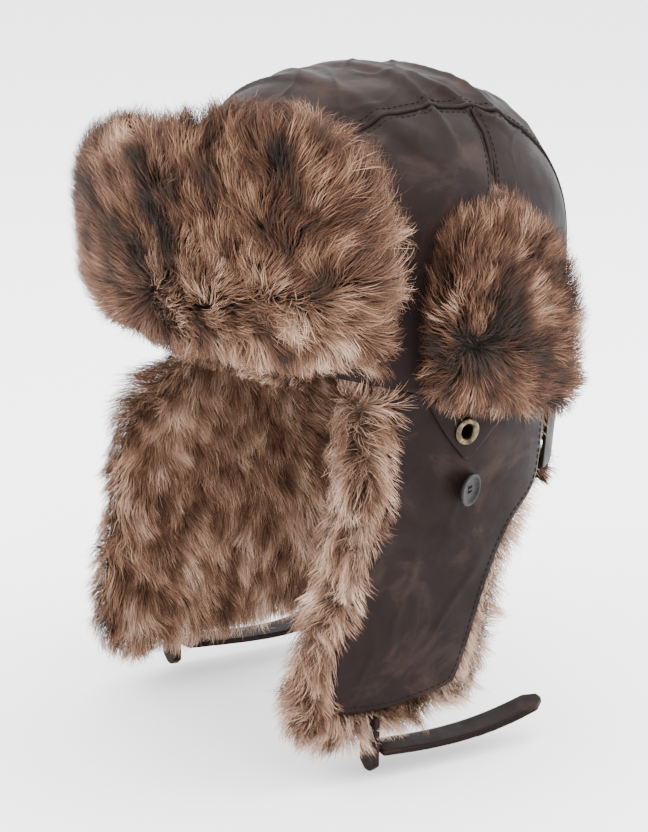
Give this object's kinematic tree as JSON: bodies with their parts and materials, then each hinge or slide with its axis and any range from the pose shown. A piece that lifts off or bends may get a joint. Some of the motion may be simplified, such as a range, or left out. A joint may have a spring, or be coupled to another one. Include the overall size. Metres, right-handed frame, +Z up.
{
  "type": "trapper hat",
  "caption": "Soft leather trapper hat with fur-lined ear flaps, a turned-up fur front flap, folded-up ear covers, a neck guard and chin straps.",
  "frame": {"origin": "centre of the head opening, on the plane of the rim, midway between the ears", "axes": "+Z up out of the crown, -Y to the front, where the face is, and +X to the wearer's left"},
  "size_m": [0.2254, 0.2528, 0.341],
  "materials": {
    "waxed_leather": "soft waxed, lightly worn",
    "flap_backing": "soft, matt",
    "fur": "long mottled pile",
    "pale_fur": "long pale pile",
    "quilted_lining": "quilted satin",
    "antique_brass": "antique, dull",
    "button_plastic": "satin",
    "thread": "twisted",
    "touch_fastener": "hooks and loops"
  },
  "bodies": {
    "crown": {"crown_top_panel": "waxed_leather", "crown_front_side_left": "waxed_leather", "crown_front_side_right": "waxed_leather", "crown_back_side_left": "waxed_leather", "crown_back_side_right": "waxed_leather", "crown_lining": "quilted_lining", "sweatband": "quilted_lining", "brow_fur_edge": "pale_fur"},
    "front_flap": {"front_flap_leather": "flap_backing", "front_flap_fur": "fur"},
    "neck_guard": {"neck_guard_leather": "waxed_leather", "neck_guard_fur": "fur"},
    "ear_flap_left": {"ear_flap_leather_left": "waxed_leather", "ear_flap_fur_left": "fur", "ear_tab_left": "waxed_leather", "eyelet_left": "antique_brass", "eyelet_washer_left": "antique_brass", "button_left": "button_plastic", "button_thread_left": "thread", "strap_anchor_left": "waxed_leather"},
    "ear_flap_right": {"ear_flap_leather_right": "waxed_leather", "ear_flap_fur_right": "fur", "ear_tab_right": "waxed_leather", "eyelet_right": "antique_brass", "eyelet_washer_right": "antique_brass", "button_right": "button_plastic", "button_thread_right": "thread", "strap_anchor_right": "waxed_leather"},
    "ear_cover_left": {"ear_cover_leather_left": "flap_backing", "ear_cover_fur_left": "fur"},
    "ear_cover_right": {"ear_cover_leather_right": "flap_backing", "ear_cover_fur_right": "fur"},
    "chin_strap_left": {"chin_strap_left": "waxed_leather", "strap_hook_patch_left": "touch_fastener"},
    "chin_strap_right": {"chin_strap_right": "waxed_leather", "strap_loop_patch_right": "touch_fastener"}
  },
  "joints": [
    {"name": "front_flap_fold", "type": "hinge", "parent": "crown", "child": "front_flap", "pos_m": [0, -0.1146, 0.0317], "axis": [1, 0, 0], "range_deg": [0, 68]},
    {"name": "neck_guard_fold", "type": "hinge", "parent": "crown", "child": "neck_guard", "pos_m": [0, 0.11, -0.01809], "axis": [1, 0, 0], "range_deg": [0, 80]},
    {"name": "ear_flap_left_fold", "type": "hinge", "parent": "crown", "child": "ear_flap_left", "pos_m": [0.09, 0, 0], "axis": [0, -0.9654, 0.2607], "range_deg": [0, 70]},
    {"name": "ear_flap_right_fold", "type": "hinge", "parent": "crown", "child": "ear_flap_right", "pos_m": [-0.09, 0, 0], "axis": [0, 0.9654, -0.2607], "range_deg": [0, 70]},
    {"name": "ear_cover_left_fold", "type": "hinge", "parent": "crown", "child": "ear_cover_left", "pos_m": [0.103, 0, 0], "axis": [0, -0.9654, 0.2607], "range_deg": [-168, 0]},
    {"name": "ear_cover_right_fold", "type": "hinge", "parent": "crown", "child": "ear_cover_right", "pos_m": [-0.103, 0, 0], "axis": [0, 0.9654, -0.2607], "range_deg": [-168, 0]},
    {"name": "chin_strap_left_swing", "type": "hinge", "parent": "ear_flap_left", "child": "chin_strap_left", "pos_m": [0.072, -0.038, -0.1805], "axis": [1, 0, 0], "range_deg": [-85, 7]},
    {"name": "chin_strap_right_swing", "type": "hinge", "parent": "ear_flap_right", "child": "chin_strap_right", "pos_m": [-0.09104, -0.05627, -0.1805], "axis": [1, 0, 0], "range_deg": [-85, 7]}
  ]
}
